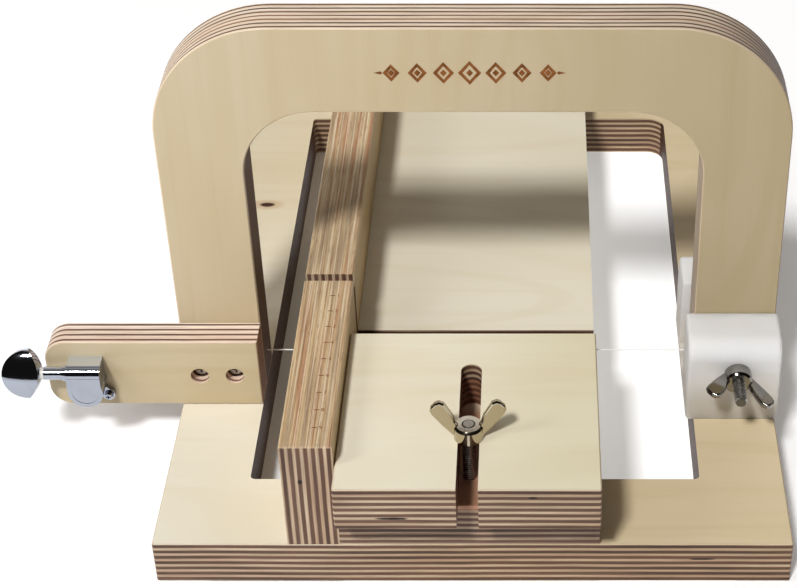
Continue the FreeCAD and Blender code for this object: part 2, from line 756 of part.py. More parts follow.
def make_tuner_housing():
    drum = cylinder("housing_drum", (POST_X, DRUM_FRONT, POST_Z), "Y", "dims.drum_radius",
                    "dims.drum_depth")
    top = f"({WORM_Z} + dims.barrel_radius)"
    cheek = box("housing_cheek", (WORM_LEFT, f"{WORM_Y}", POST_Z),
                ("dims.barrel_width", "dims.worm_setback", f"{top} - {POST_Z}"))
    face = box("housing_face", (WORM_LEFT, DRUM_FRONT, POST_Z),
               ("dims.barrel_width", "dims.drum_depth", f"{WORM_Z} - {POST_Z}"))
    barrel = cylinder("housing_barrel", (WORM_LEFT, WORM_Y, WORM_Z), "X", "dims.barrel_radius",
                      "dims.barrel_width")
    collar_start = f"({WORM_LEFT} - dims.collar_length)"
    collar = cylinder("housing_collar", (collar_start, WORM_Y, WORM_Z), "X", "dims.collar_radius",
                      "dims.collar_length + 1")
    step = cylinder("housing_step", (f"{WORM_LEFT} - 1.6", WORM_Y, WORM_Z), "X",
                    "dims.collar_radius + 0.5", "2")
    lug_y = f"({ARM_FRONT} - dims.lug_thickness)"
    lug = cylinder("housing_lug", (LUG_X, lug_y, LUG_Z), "Y", "dims.lug_radius", "dims.lug_thickness")
    bridge = doc.addObject("Part::Box", "housing_lug_bridge")
    bind(bridge, Length="dims.lug_reach * 1.4142", Width="dims.lug_thickness",
         Height="dims.lug_radius * 2")
    bridge.Placement.Rotation = FreeCAD.Rotation(FreeCAD.Vector(0, 1, 0), 45)
    shift = "dims.lug_radius * 0.7071"
    for letter, expression in zip("xyz", (f"{POST_X} - {shift}", lug_y, f"{POST_Z} - {shift}")):
        bridge.setExpression(f"Placement.Base.{letter}", expression)
    solid = fuse("housing_solid", [drum, face, cheek, barrel, collar, step, lug, bridge])
    cavity = cylinder("housing_cavity", (POST_X, DRUM_FRONT, POST_Z), "Y", "dims.cavity_radius",
                      f"dims.drum_depth - {FLOOR}")
    post_hole = cylinder("housing_post_hole", (POST_X, DRUM_FRONT, POST_Z), "Y", "dims.post_radius + 0.05",
                         "dims.drum_depth + 1")
    worm_bore = cylinder("housing_worm_bore", (f"{WORM_LEFT} + 1.5", WORM_Y, WORM_Z), "X",
                         "dims.worm_radius + 0.3", "dims.barrel_width - 3")
    shaft_bore = cylinder("housing_shaft_bore", (f"{collar_start} - 1", WORM_Y, WORM_Z), "X",
                          "dims.shaft_radius + 0.05", "dims.collar_length + 4")
    screw_hole = cylinder("housing_screw_hole", (LUG_X, f"{lug_y} - 1", LUG_Z), "Y", "1.25",
                          "dims.lug_thickness + 2")
    tools = [cavity, post_hole, worm_bore, shaft_bore, screw_hole]
    return node("tuner_housing", cut("tuner_housing", solid, tools))


def make_tuner_cap():
    disc = cylinder("cap_disc", (POST_X, f"{DRUM_FRONT} + 0.15", POST_Z), "Y",
                    "dims.cavity_radius - 0.02", CAP)
    return node("tuner_cap", disc)


def make_tuner_screw():
    seat = f"({ARM_FRONT} - dims.lug_thickness)"
    screw = pan_screw("tuner_screw", LUG_X, LUG_Z, seat, "1.9", "1.5", "1.1", "9.5")
    return node("tuner_screw", screw)


def make_tuner_bushing():
    """A hex-flanged bush pressed into the arm from behind; the post turns in it."""
    rear = ARCH_FRONT
    flange = hexagon("bushing_flange", (POST_X, rear, POST_Z), "Y", "7.2", "dims.bush_flange")
    sleeve = cylinder("bushing_sleeve", (POST_X, f"{ARM_FRONT} + 0.1", POST_Z), "Y", "dims.bush_radius",
                      "dims.arm_thickness - 0.1")
    bore = cylinder("bushing_bore", (POST_X, f"{ARM_FRONT} - 1", POST_Z), "Y", "dims.post_radius + 0.05",
                    "dims.arm_thickness + dims.bush_flange + 2")
    return node("tuner_bushing", cut("tuner_bushing", fuse("bushing_solid", [flange, sleeve]), [bore]))


def make_string_post():
    """The post, with a waist for the wire and a cross hole through it."""
    start = f"({WHEEL_Y} - 0.6)"
    waist = f"({WIRE_Y} - dims.neck_front)"
    end = f"({waist} + dims.neck_length)"
    lower = cylinder("post_lower", (POST_X, start, POST_Z), "Y", "dims.post_radius", f"{waist} - {start}")
    neck = cylinder("post_neck", (POST_X, waist, POST_Z), "Y", "dims.neck_radius", "dims.neck_length")
    crown = cylinder("post_crown", (POST_X, end, POST_Z), "Y", "dims.post_radius",
                     "dims.crown_length")
    solid = fuse("post_solid", [lower, neck, crown])
    hole = cylinder("post_cross_hole", (POST_X, WIRE_Y, f"{POST_Z} - 4"), "Z", "0.6", "8")
    tap = cylinder("post_tap", (POST_X, f"{start} - 1", POST_Z), "Y", "0.92", "5.5")
    return node("string_post", cut("string_post", solid, [hole, tap]))


def make_worm_wheel():
    """The bronze wheel on the post, with fourteen shallow tooth gaps."""
    disc = cylinder("wheel_disc", (POST_X, WHEEL_Y, POST_Z), "Y", "dims.wheel_radius",
                    "dims.wheel_thickness")
    hole = cylinder("wheel_hole", (POST_X, f"{WHEEL_Y} - 1", POST_Z), "Y", "dims.post_radius + 0.01",
                    "dims.wheel_thickness + 2")
    gaps = []
    for tooth in range(14):
        turn = f"({tooth} * 360 / 14)"
        x = f"{POST_X} + (dims.wheel_radius + 0.15) * cos({turn})"
        z = f"{POST_Z} + (dims.wheel_radius + 0.15) * sin({turn})"
        gap = cylinder(f"wheel_gap_{tooth}", (x, f"{WHEEL_Y} - 1", z), "Y", "0.62",
                       "dims.wheel_thickness + 2")
        gaps.append(gap)
    return node("worm_wheel", cut("worm_wheel", disc, [hole] + gaps))


def make_gear_screw():
    """The screw that holds the wheel on the post."""
    seat = f"({WHEEL_Y} - 0.6)"
    head = cylinder("gear_screw_head", (POST_X, f"{seat} - 1.2", POST_Z), "Y", "2.3", "1.2")
    shank = cylinder("gear_screw_shank", (POST_X, seat, POST_Z), "Y", "0.9", "4.2")
    corner = (f"{POST_X} - 3", f"{seat} - 1.3", f"{POST_Z} - 0.3")
    slot = box("gear_screw_slot", corner, ("6", "0.7", "0.6"))
    return node("gear_screw", cut("gear_screw", fuse("gear_screw_solid", [head, shank]), [slot]))


def make_worm_shaft():
    """The worm inside the barrel and its shaft out to the button."""
    worm_start = f"({WORM_LEFT} + 1.7)"
    worm_length = "(dims.barrel_width - 3.4)"
    worm = cylinder("worm_body", (worm_start, WORM_Y, WORM_Z), "X", "dims.worm_radius", worm_length)
    end = f"({BUTTON_X} - 9)"
    shaft = cylinder("worm_stem", (end, WORM_Y, WORM_Z), "X", "dims.shaft_radius",
                     f"{worm_start} - {end} + 1")
    grooves = []
    for turn in range(5):
        x = f"({worm_start} + 1.2 + {turn} * 2)"
        ring = "dims.worm_radius + 0.2"
        grooves.append(torus(f"worm_groove_{turn}", (x, WORM_Y, WORM_Z), "X", ring, "0.6"))
    tap = cylinder("worm_tap", (f"{end} - 1", WORM_Y, WORM_Z), "X", "0.92", "6")
    return node("worm_shaft", cut("worm_shaft", fuse("worm_solid", [worm, shaft]), grooves + [tap]))


def make_button_washer():
    start = f"({BUTTON_X} + 0.1)"
    disc = cylinder("button_washer_disc", (start, WORM_Y, WORM_Z), "X", "2.5", "1.35")
    hole = cylinder("button_washer_hole", (f"{start} - 1", WORM_Y, WORM_Z), "X",
                    "dims.shaft_radius + 0.01", "4")
    return node("button_washer", cut("button_washer", disc, [hole]))


def make_tuner_button():
    """A domed oval button, its broad face tilted up towards the front."""
    radius = "dims.button_radius"
    middle = f"({radius} - dims.button_length)"
    disc = cylinder("button_disc", (middle, "-6", "0"), "Y", radius, "12")
    shoulder = cylinder("button_shoulder", ("-14.3", "-6", "0"), "Y", "14", "12")
    crown = doc.addObject("Part::Ellipsoid", "button_crown")
    bind(crown, Radius1=f"{radius} * 1.07", Radius2=f"{radius} * 1.65", Radius3="dims.button_thickness / 2")
    put(crown, (middle, "0", "0"))
    oval = common("button_oval", [disc, shoulder, crown])
    hub = cylinder("button_hub", ("-3", "0", "0"), "X", "2.4", "3")
    bore = cylinder("button_bore", ("-9.1", "0", "0"), "X", "dims.shaft_radius + 0.01", "12")
    through = cylinder("button_screw_way", ("-dims.button_length - 1", "0", "0"), "X", "1",
                       "dims.button_length")
    seat = cylinder("button_screw_seat", ("-dims.button_length - 1", "0", "0"), "X", "2.1", "2.8")
    thing = cut("tuner_button", fuse("button_solid", [oval, hub]), [bore, through, seat])
    tilt = FreeCAD.Rotation(FreeCAD.Vector(1, 0, 0), -value("dims.button_tilt"))
    thing.Placement = FreeCAD.Placement(FreeCAD.Vector(), tilt)
    for letter, expression in zip("xyz", (BUTTON_X, WORM_Y, WORM_Z)):
        thing.setExpression(f"Placement.Base.{letter}", expression)
    return node("tuner_button", thing)


def make_button_screw():
    seat = f"({BUTTON_X} - dims.button_length + 1.8)"
    head = cylinder("button_screw_head", (f"{seat} - 1.4", WORM_Y, WORM_Z), "X", "1.95", "1.4")
    shank = cylinder("button_screw_shank", (seat, WORM_Y, WORM_Z), "X", "0.9", f"{BUTTON_X} - 5 - {seat}")
    corner = (f"{seat} - 1.5", f"{WORM_Y} - 2.5", f"{WORM_Z} - 0.3")
    slot = box("button_screw_slot", corner, ("0.8", "5", "0.6"))
    return node("button_screw", cut("button_screw", fuse("button_screw_solid", [head, shank]), [slot]))


# Wire: from the bottom of the post's waist, through the left leg and the kerf, to a ball at the foot.

TURNS = 4
TURN_PITCH = "0.51"


def make_wire_winding():
    """Turns of wire on the post's waist, behind the stretch that leaves it."""
    turns = []
    for turn in range(TURNS):
        y = f"({WIRE_Y} + 0.55 + {turn} * {TURN_PITCH})"
        ring = "dims.neck_radius + dims.wire_radius + 0.01"
        turns.append(torus(f"winding_{turn}", (POST_X, y, POST_Z), "Y", ring, "dims.wire_radius"))
    return node("wire_winding", group("wire_winding", turns))


BALL_LEFT = f"({OUTER_X} - dims.nest_depth + 0.2)"


def make_cutting_wire():
    reach = f"({BALL_LEFT} - {POST_X} + 1)"
    wire = cylinder("cutting_wire", (POST_X, WIRE_Y, WIRE_Z), "X", "dims.wire_radius", reach)
    return node("cutting_wire", wire)


def make_wire_ball_end():
    ball = cylinder("ball_body", (BALL_LEFT, WIRE_Y, WIRE_Z), "X", "1.8", "3.4")
    hole = cylinder("ball_hole", (f"{BALL_LEFT} - 1", WIRE_Y, WIRE_Z), "X", "dims.wire_radius", "2.02")
    return node("wire_ball_end", cut("wire_ball_end", ball, [hole]))


make_base_frame()
make_bed_board()
make_guide_fence()
screw_set("bed_screws", BED_SCREWS, f"({TOP} + {BED_PILOT} - 0.2)")
screw_set("fence_screws", FENCE_SCREWS, f"({TOP} + {FENCE_PILOT} - 0.2)")
screw_set("block_screws", BLOCK_SCREWS, f"({TOP} + {BLOCK_PILOT} - 0.2)")
make_pivot_block()
make_pivot_bolt()
make_arch_frame()
make_tuner_arm()
make_arm_screws()
make_stop_plate()
make_stop_bolt()
wing_nut("stop_wing_nut", ("dims.bed_offset", STOP_Y, STOP_NUT_Z), "Z", turn=2)
wing_nut("pivot_wing_nut", (PIVOT_X, f"({BLOCK_FRONT} - 0.05)", PIVOT_Z), "-Y", turn=-15)
make_tuner_housing()
make_tuner_cap()
make_tuner_screw()
make_tuner_bushing()
make_string_post()
make_worm_wheel()
make_gear_screw()
make_worm_shaft()
make_button_washer()
make_tuner_button()
make_button_screw()
make_wire_winding()
make_cutting_wire()
make_wire_ball_end()

doc.recompute()
for thing in doc.Objects:
    if "Invalid" in thing.State or "Error" in thing.State:
        raise RuntimeError(f"{thing.Label} is {thing.State}")
os.makedirs("parts", exist_ok=True)
for name, thing in NODES.items():
    shape = thing.Shape
    if shape.isNull() or not shape.isValid():
        raise RuntimeError(f"{name} has no valid shape")
    shape.exportStep(f"parts/{name}.step")
    print(f"{name}: {len(shape.Solids)} solids, {shape.Volume:.1f} mm3")
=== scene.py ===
import math

import bpy
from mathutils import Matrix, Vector


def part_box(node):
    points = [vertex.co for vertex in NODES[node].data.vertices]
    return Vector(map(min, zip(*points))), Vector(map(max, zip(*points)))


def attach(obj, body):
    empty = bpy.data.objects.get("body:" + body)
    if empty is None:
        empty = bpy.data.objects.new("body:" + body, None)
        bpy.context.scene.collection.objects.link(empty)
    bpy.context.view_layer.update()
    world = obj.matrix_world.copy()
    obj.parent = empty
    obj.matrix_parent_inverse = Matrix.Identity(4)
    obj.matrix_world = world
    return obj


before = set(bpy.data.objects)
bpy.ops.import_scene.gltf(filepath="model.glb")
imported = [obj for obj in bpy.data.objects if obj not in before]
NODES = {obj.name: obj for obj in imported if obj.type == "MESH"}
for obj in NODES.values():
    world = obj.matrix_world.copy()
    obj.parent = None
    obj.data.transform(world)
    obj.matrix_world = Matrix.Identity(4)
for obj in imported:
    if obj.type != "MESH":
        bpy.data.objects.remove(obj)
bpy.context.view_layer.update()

MM = 0.001
X, Y, Z = range(3)


class Shader:
    """A material's node tree, with short ways to add and join nodes."""

    def __init__(self, name=None, tree=None):
        if tree is None:
            self.material = bpy.data.materials.new(name)
            self.material.use_nodes = True
            tree = self.material.node_tree
        self.tree = tree
        self.surface = tree.nodes.get("Principled BSDF")
        self.places = None

    def join(self, source, socket):
        """Link a socket, or set a plain value."""
        if isinstance(source, bpy.types.NodeSocket):
            self.tree.links.new(source, socket)
        else:
            socket.default_value = source

    def node(self, kind, inputs=None, **settings):
        made = self.tree.nodes.new("ShaderNode" + kind)
        for name, setting in settings.items():
            setattr(made, name, setting)
        for key, source in (inputs or {}).items():
            self.join(source, made.inputs[key])
        return made

    def set(self, **inputs):
        """Set or link the surface's inputs, with _ for a space in a name."""
        for name, source in inputs.items():
            self.join(source, self.surface.inputs[name.replace("_", " ")])

    def maths(self, operation, a, b=0.0, c=None):
        """A Math node; only MULTIPLY_ADD takes a third number."""
        inputs = {0: a, 1: b}
        if c is not None:
            inputs[2] = c
        return self.node("Math", inputs, operation=operation).outputs[0]

    def vector(self, operation, a, b=(0, 0, 0)):
        return self.node("VectorMath", {0: a, 1: b}, operation=operation).outputs

    def step(self, source, low, high, first=0.0, last=1.0):
        """A smooth step from first to last while the source goes from low to high."""
        inputs = {"Value": source, "From Min": low, "From Max": high, "To Min": first, "To Max": last}
        return self.node("MapRange", inputs, interpolation_type="SMOOTHSTEP").outputs[0]

    def mix(self, factor, a, b, blend="MIX"):
        """Two colours mixed; 6, 7 and 2 are the Mix node's colour sockets."""
        inputs = {0: factor, 6: a, 7: b}
        return self.node("Mix", inputs, data_type="RGBA", blend_type=blend).outputs[2]

    def layer(self, colour, over, pattern, low, high, strength=1.0, blend="MIX"):
        """Lay a colour over another, up to a strength, while a pattern goes from low to high."""
        return self.mix(self.step(pattern, low, high, 0.0, strength), colour, over, blend)

    def from_middle(self, count):
        """How far a number is from half-way between whole numbers, from 0 to 0.5."""
        return self.maths("ABSOLUTE", self.maths("SUBTRACT", self.maths("FRACT", count), 0.5))

    def coordinates(self):
        """The point on the node, in metres in the row frame at rest, and the same split in three."""
        if self.places is None:
            point = self.node("TexCoord").outputs["Object"]
            self.places = (point, self.node("SeparateXYZ", {0: point}).outputs)
        return self.places

    def normals(self):
        """The direction that the surface faces at rest, split in three."""
        return self.node("SeparateXYZ", {0: self.node("TexCoord").outputs["Normal"]}).outputs

    def noise(self, scales, detail=3.0, rough=0.55, shift=(0, 0, 0), distortion=0.0):
        """Noise with so many cycles a metre on each axis."""
        inputs = {"Vector": self.coordinates()[0], "Scale": scales, "Location": shift}
        stretched = self.node("Mapping", inputs).outputs[0]
        inputs = {"Vector": stretched, "Scale": 1.0, "Detail": detail,
                  "Roughness": rough, "Distortion": distortion}
        return self.node("TexNoise", inputs).outputs["Fac"]

    def bump(self, height, distance, strength):
        inputs = {"Height": height, "Distance": distance, "Strength": strength}
        return self.node("Bump", inputs).outputs["Normal"]

    def spot(self, centre, radii, ragged=0.25):
        """A soft-edged spot, 1 in the middle and 0 outside, about a point in metres."""
        away = self.vector("SUBTRACT", self.coordinates()[0], centre)[0]
        scaled = self.vector("MULTIPLY", away, tuple(1 / r for r in radii))[0]
        distance = self.vector("LENGTH", scaled)["Value"]
        wander = self.maths("MULTIPLY_ADD", self.noise((300, 300, 300)), ragged, -ragged / 2)
        return self.step(self.maths("ADD", distance, wander), 1.0, 0.55)

    def inside(self, low, high):
        """1 inside a box in metres and 0 outside it."""
        centre = tuple((a + b) / 2 for a, b in zip(low, high))
        per_half = tuple(2 / (b - a) for a, b in zip(low, high))
        away = self.vector("SUBTRACT", self.coordinates()[0], centre)[0]
        away = self.vector("ABSOLUTE", away)[0]
        away = self.vector("MULTIPLY", away, per_half)[0]
        x, y, z = self.node("SeparateXYZ", {0: away}).outputs
        furthest = self.maths("MAXIMUM", self.maths("MAXIMUM", x, y), z)
        return self.maths("LESS_THAN", furthest, 1.0)


def rgb(red, green, blue):
    """An sRGB colour out of 255 as the linear colour that shaders take."""
    def linear(level):
        level /= 255
        return level / 12.92 if level <= 0.04045 else ((level + 0.055) / 1.055) ** 2.4

    return (linear(red), linear(green), linear(blue), 1.0)


def tinted(colour, shares):
    """A colour with each channel multiplied by its share."""
    return tuple(c * share for c, share in zip(colour[:3], shares)) + (1.0,)


def paint(node, material):
    """Give a CAD node one material."""
    mesh = NODES[node].data
    mesh.materials.clear()
    mesh.materials.append(material)


def on(node, x, y, z):
    """A point in a node's box, each share from 0 to 1."""
    low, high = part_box(node)
    return tuple(low[i] + (high[i] - low[i]) * share for i, share in enumerate((x, y, z)))


# Birch plywood.

LIGHT_PLY = rgb(190, 168, 142)
DARK_PLY = rgb(102, 73, 57)
PALE_PATCH = rgb(232, 214, 188)
WARM_DARK = rgb(112, 84, 68)
DEEP_PATCH = rgb(68, 49, 41)
FIBRE = rgb(134, 100, 80)
SANDED_PALE = rgb(212, 190, 152)
SANDED_TAN = rgb(176, 144, 108)
SANDED_RED = rgb(176, 118, 84)
SANDED_GREY = rgb(140, 120, 100)
SANDED_BROWN = rgb(122, 94, 74)
SANDED_LINE = rgb(232, 216, 190)
SANDED_THREAD = rgb(228, 210, 182)
PORE = rgb(110, 84, 66)
# Painted shade for edges that face right.
RIGHT_EDGE_SHADE = rgb(92, 66, 62)
# Darker plies for walls, partly painted shade.
DARKENED_WALL = (rgb(86, 54, 40), rgb(58, 36, 28))
# A brown mark of painted shade and dirt, where the plate's slot leaves the bed open.
SLOT_SHADE_AND_DIRT = rgb(172, 126, 98)
SLOT_SHADE_AND_DIRT_FADE = 0.012
KNOT_RING = rgb(176, 128, 78)
KNOT = rgb(62, 34, 22)
VOID_SHADE = rgb(26, 16, 12)
GRAIN_DEPTH = 0.00018


def per_axis(axis, along, across):
    """Cycles a metre along one axis and across it."""
    scales = [across] * 3
    scales[axis] = along
    return tuple(scales)


def ply_edge(shader, depth, axis, shift, seed, dark_share, light, dark):
    """Dark and light plies by the depth in the stack, each with its own tone.

    The dark part and the fibre are returned too."""
    ply = shader.maths("FLOOR", depth)

    def own_tone(offset):
        place = shader.maths("ADD", ply, seed + offset)
        return shader.node("TexWhiteNoise", {"W": place}, noise_dimensions="1D").outputs[0]

    rim = dark_share / 2
    is_dark = shader.step(shader.from_middle(depth), rim + 0.10, rim - 0.08)
    fibre = shader.noise(per_axis(axis, 1500, 45), 3.0, 0.6, shift)
    patch = shader.noise(per_axis(axis, 210, 16), 3.0, 0.55, shift)
    tanned = tinted(light, (0.90, 0.82, 0.78))
    pale = shader.layer(light, tanned, own_tone(7.9), 0.1, 0.9)
    pale = shader.layer(pale, PALE_PATCH, patch, 0.42, 0.8, 0.6)
    deep = shader.layer(dark, WARM_DARK, own_tone(0.37), 0.0, 1.0)
    deep = shader.layer(deep, DEEP_PATCH, patch, 0.6, 0.35, 0.7)
    edge = shader.mix(is_dark, pale, deep)
    edge = shader.layer(edge, FIBRE, fibre, 0.35, 0.8, 0.45, "MULTIPLY")
    return edge, is_dark, fibre


def streaky_edge(shader, depth, axis, shift):
    """A sanded upper edge: tan, reddish and grey streaks along the plies with thin pale lines."""
    x, y, z = shift
    streak = shader.noise(per_axis(axis, 1300, 16), 5.0, 0.7, shift)
    drift = shader.noise(per_axis(axis, 330, 12), 2.0, 0.5, (z, x, y))
    pores = shader.noise(per_axis(axis, 2600, 150), 3.0, 0.6, shift)
    thread = shader.noise(per_axis(axis, 2100, 9), 3.0, 0.6, (y, z, x))
    colour = shader.layer(SANDED_PALE, SANDED_TAN, streak, 0.35, 0.6)
    colour = shader.layer(colour, SANDED_RED, drift, 0.52, 0.70, 0.7)
    colour = shader.layer(colour, SANDED_GREY, drift, 0.47, 0.34, 0.5)
    colour = shader.layer(colour, SANDED_BROWN, streak, 0.56, 0.68, 0.75)
    line = shader.step(shader.from_middle(depth), 0.37, 0.47, 0.0, 0.6)
    line = shader.maths("MULTIPLY", line, shader.step(drift, 0.25, 0.45))
    colour = shader.mix(line, colour, SANDED_LINE)
    colour = shader.layer(colour, SANDED_THREAD, thread, 0.56, 0.66, 0.6)
    return shader.layer(colour, PORE, pores, 0.52, 0.72, 0.5)


def veneer(shader, face, grain, shift):
    """Pale veneer with faint streaks, soft figure and a slight flame; its fine grain too."""
    cloud = shader.noise(per_axis(grain, 7, 16), 2.0, 0.5, shift, 0.6)
    streak = shader.noise(per_axis(grain, 5, 150), 5.0, 0.6, shift, 0.2)
    rings = shader.noise(per_axis(grain, 2.2, 11), 1.5, 0.45, shift, 0.9)
    rings = shader.maths("SINE", shader.maths("MULTIPLY", rings, 62.0))
    fine = shader.noise(per_axis(grain, 18, 900), 3.0, 0.6, shift)
    figure = tinted(face, (0.88, 0.83, 0.71))
    colour = shader.layer(face, figure, cloud, 0.3, 0.75, 0.5)
    colour = shader.layer(colour, figure, streak, 0.48, 0.8, 0.5)
    colour = shader.layer(colour, figure, rings, 0.2, 1.0, 0.26)
    return shader.layer(colour, figure, fine, 0.55, 0.85, 0.25), fine


def toned_wood(shader, colour, is_face, low, high, falloff_shade):
    """Painted shade: multiply by darker tones that grow along an axis; each is laid only where the
    one before isn't.
    """
    not_yet_darkened = 1.0
    for tone, axis, start, full in falloff_shade:
        span = high[axis] - low[axis]
        place = shader.coordinates()[1][axis]
        along = shader.step(place, low[axis] + start * span, low[axis] + full * span)
        along = shader.maths("MULTIPLY", along, not_yet_darkened)
        edge_shade = tuple((c + max(tone[:3])) / 2 for c in tone[:3]) + (1.0,)
        colour = shader.mix(along, colour, shader.mix(is_face, edge_shade, tone), "MULTIPLY")
        not_yet_darkened = shader.maths("SUBTRACT", 1.0, along)
    return colour


def plywood(name, stack, grain, face, seed, plies=7, light=LIGHT_PLY, dark=DARK_PLY, dark_share=0.54,
            sanded=False, shade_right_edges=False, darkened_walls=(), darkened_wall_colours=DARKENED_WALL, falloff_shade=(), shade_and_dirt=(), knots=(),
            voids=()):
    """Plywood for one board: plies is its number of dark plies, along the stack axis.

    A sanded board has a streaky upper edge, and edges that face right can be given painted shade.
    Walls painted darker, partly painted shade, and brown marks of painted shade and dirt are boxes,
    and knots and voids are centres and radii. Each tone of painted shade is (colour, axis, start,
    full), growing between start and full as shares along that axis."""
    shader = Shader("plywood_" + name)
    low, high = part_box(name)
    shift = (seed * 3.1, seed * 5.7, seed * 2.3)
    axes = shader.coordinates()[1]
    normals = shader.normals()
    is_face = shader.step(shader.maths("ABSOLUTE", normals[stack]), 0.62, 0.82)

    depth = shader.maths("SUBTRACT", axes[stack], low[stack])
    depth = shader.maths("MULTIPLY", depth, plies / (high[stack] - low[stack]))
    waver = shader.noise(per_axis(stack, 0.001, 14), 2.0, shift=shift)
    depth = shader.maths("ADD", depth, shader.maths("MULTIPLY_ADD", waver, 0.30, -0.15))
    edge, is_dark, fibre = ply_edge(shader, depth, stack, shift, seed, dark_share, light, dark)
    if sanded:
        upper = shader.step(normals[Z], 0.5, 0.8)
        edge = shader.mix(upper, edge, streaky_edge(shader, depth, stack, shift))
    # Painted shade: edges that face right are darker.
    if shade_right_edges:
        edge = shader.layer(edge, RIGHT_EDGE_SHADE, normals[X], 0.25, 0.95, 0.8)
    # Walls in these boxes are painted darker, partly painted shade.
    for box in darkened_walls:
        edge = shader.mix(shader.inside(*box), edge, shader.mix(is_dark, *darkened_wall_colours))

    flat, fine = veneer(shader, face, grain, shift)
    colour = shader.mix(is_face, edge, flat)
    # Painted shade that grows along the board.
    colour = toned_wood(shader, colour, is_face, low, high, falloff_shade)
    # Brown marks of painted shade and dirt, fading out at their far ends.
    for box in shade_and_dirt:
        end = box[1][Y]
        fading = shader.step(axes[Y], end, end - SLOT_SHADE_AND_DIRT_FADE, 0.0, 0.95)
        mark = shader.maths("MULTIPLY", shader.inside(*box), fading)
        colour = shader.mix(mark, colour, SLOT_SHADE_AND_DIRT)
    for centre, radii in knots:
        ring = shader.spot(centre, [r * 2.2 for r in radii])
        colour = shader.mix(shader.maths("MULTIPLY", ring, 0.35), colour, KNOT_RING)
        colour = shader.mix(shader.spot(centre, radii), colour, KNOT)
    # Voids are dark spots: painted shade of gaps in the plies.
    for centre, radii in voids:
        colour = shader.mix(shader.spot(centre, radii, 0.5), colour, VOID_SHADE)

    relief = shader.maths("MULTIPLY", shader.maths("SUBTRACT", 1.0, is_face), is_dark)
    relief = shader.maths("ADD", relief, shader.maths("MULTIPLY", fibre, 0.9))
    relief = shader.maths("ADD", relief, shader.maths("MULTIPLY", fine, 0.35))
    shader.set(Base_Color=colour, Roughness=shader.step(fine, 0.2, 0.9, 0.46, 0.62),
               Specular_IOR_Level=0.32, Normal=shader.bump(relief, GRAIN_DEPTH, 0.35))
    return shader.material


arch_low, arch_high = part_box("arch_frame")
arm_low, arm_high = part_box("tuner_arm")
base_low, base_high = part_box("base_frame")
bed_low, bed_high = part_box("bed_board")
plate_low, plate_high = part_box("stop_plate")

# The width of a rail or of the arch's leg, the height of the arch's beam, and a skin left pale.
RAIL = 0.0327
BEAM = 0.0354
SKIN = 0.2 * MM
OPENING_FRONT = base_low.y + 0.03
OPENING_BACK = base_low.y + 0.299
SLOT_SHADE_AND_DIRT_END = base_low.y + 0.062
ROUND_END = plate_low.y + 0.0688

# Walls in these boxes are painted darker, as they look in the photo; they lie where the walls are in
# shade, so this is partly painted shade: inside the base's opening, in the plate's slot but only low
# down at its round end, inside the left half of the arch, and on the arm's right end. The bed's brown
# mark is painted shade and dirt where the plate's slot leaves it open.
BOARDS = {
    "base_frame": dict(
        stack=Z, grain=X, face=(0.80, 0.765, 0.665, 1.0), seed=1.3,
        falloff_shade=[((0.86, 0.75, 0.575, 1.0), X, 0.2, 0.5),
               ((0.87, 0.82, 0.72, 1.0), Y, 0.38, 0.75)],
        darkened_walls=[((base_low.x + RAIL - MM, OPENING_FRONT, -MM),
                   (base_high.x - RAIL + MM, OPENING_BACK, 0.02))],
        knots=[(on("base_frame", 0.075, 0.677, 1.0), (0.0044, 0.0022, 0.004))],
        voids=[(on("base_frame", 0.86, 0.0, 0.6), (0.006, 0.004, 0.0005))]),
    "bed_board": dict(
        stack=Z, grain=X, face=(0.77, 0.72, 0.59, 1.0), seed=2.6,
        light=rgb(168, 146, 124), dark=rgb(88, 63, 50),
        shade_and_dirt=[((-0.0054, base_low.y - MM, plate_low.z - 0.002),
                 (0.0034, SLOT_SHADE_AND_DIRT_END, plate_low.z + 0.001))]),
    "guide_fence": dict(
        # The fence's faces are a darker golden brown, partly painted shade of its right side.
        stack=X, grain=Y, face=(0.61, 0.455, 0.25, 1.0), seed=3.2, sanded=True,
        voids=[(on("guide_fence", 0.35, 0.0, 0.65), (0.0011, 0.003, 0.0013))]),
    "stop_plate": dict(
        stack=Z, grain=X, face=(0.85, 0.805, 0.675, 1.0), seed=4.8,
        falloff_shade=[((0.88, 0.87, 0.79, 1.0), X, 0.2, 1.0)],
        darkened_wall_colours=(rgb(150, 106, 82), rgb(98, 64, 50)),
        darkened_walls=[((-0.008, plate_low.y + MM, plate_low.z),
                   (0.006, ROUND_END, plate_high.z - SKIN)),
                  ((-0.008, ROUND_END, plate_low.z),
                   (0.006, plate_high.y - 0.01, plate_high.z - 0.0075))],
        voids=[(on("stop_plate", 0.22, 0.0, 0.28), (0.0075, 0.003, 0.0007)),
               (on("stop_plate", 0.745, 0.0, 0.8), (0.0022, 0.003, 0.0006))]),
    "arch_frame": dict(
        stack=Y, grain=Z, face=(0.585, 0.49, 0.335, 1.0), seed=5.1, dark_share=0.34, shade_right_edges=True,
        light=rgb(252, 238, 218), dark=rgb(156, 118, 92),
        falloff_shade=[((0.77, 0.755, 0.70, 1.0), X, 0.25, 1.0)],
        darkened_walls=[((arch_low.x + RAIL - MM, arch_low.y + MM, arch_low.z - MM),
                   (0.0, arch_high.y - MM, arch_high.z - BEAM + MM))]),
    "tuner_arm": dict(
        stack=Y, grain=X, face=(0.56, 0.47, 0.315, 1.0), seed=6.4, plies=4, dark_share=0.3,
        light=rgb(250, 234, 218), dark=rgb(150, 104, 82),
        darkened_wall_colours=(rgb(140, 98, 74), rgb(100, 66, 48)),
        darkened_walls=[((arm_high.x - 3 * SKIN, arm_low.y + SKIN, arm_low.z - MM),
                   (arm_high.x + MM, arm_high.y, arm_high.z - 2 * SKIN))]),
}
for board, look in BOARDS.items():
    paint(board, plywood(board, **look))


# Metals and plastics.

